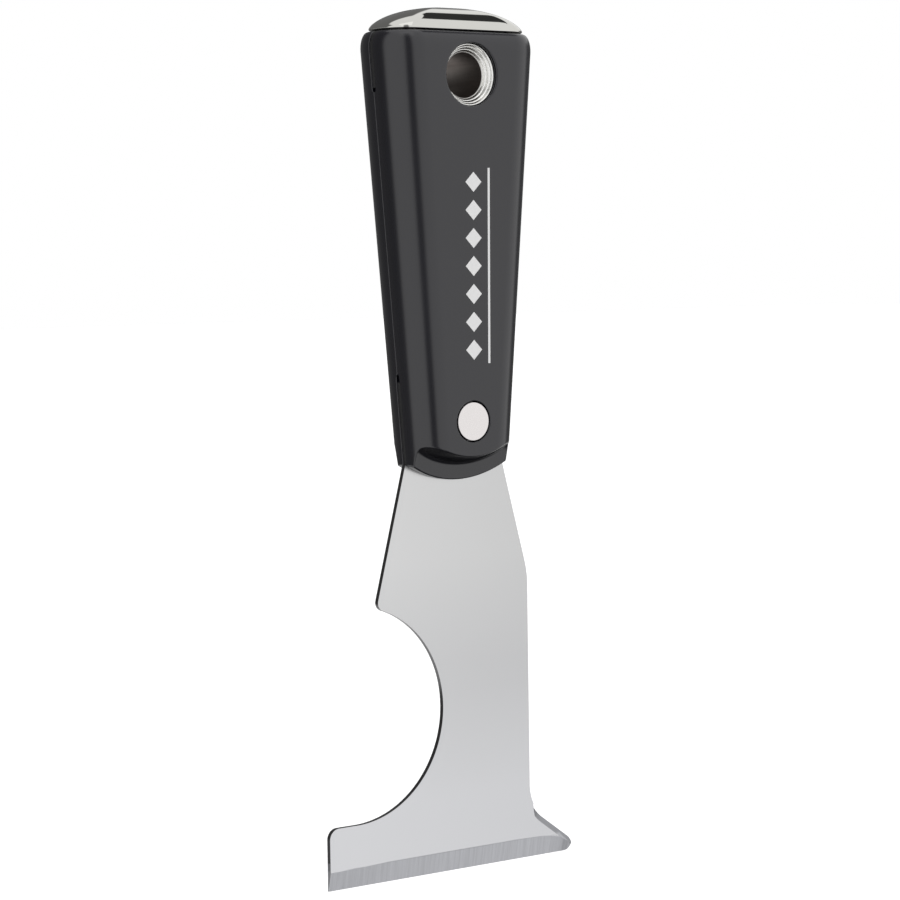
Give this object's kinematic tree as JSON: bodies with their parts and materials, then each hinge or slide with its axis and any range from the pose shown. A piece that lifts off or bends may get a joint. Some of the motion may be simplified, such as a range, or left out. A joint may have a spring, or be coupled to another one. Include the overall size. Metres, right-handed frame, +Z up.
{
  "type": "painters multi tool",
  "caption": "Flat steel painter's scraper with roller notch and pointed corner, moulded two-scale handle, lined hang hole, rivet and domed metal hammer cap.",
  "frame": {"origin": "centre of the hang hole, midway between the two handle faces", "axes": "+Z up along the tool from the blade to the hammer cap, as it hangs; +Y from the bevelled front to the back, along the hang hole; +X to the right seen from the front"},
  "size_m": [0.0709, 0.0196, 0.2008],
  "materials": {
    "blade_steel": "satin polished faces, brushed ground bevels",
    "scale_nylon": "satin moulded black nylon",
    "cap_chrome": "mirror",
    "pin_steel": "turned",
    "eyelet_nickel": "bright nickel plate",
    "rivet_steel": "fine satin"
  },
  "bodies": {
    "root": {"blade": "blade_steel", "front_scale": "scale_nylon", "back_scale": "scale_nylon", "hammer_cap": "cap_chrome", "cap_pins": "pin_steel", "eyelet": "eyelet_nickel", "eyelet_washer": "eyelet_nickel", "rivet_post": "rivet_steel", "rivet_socket": "rivet_steel"}
  },
  "joints": []
}
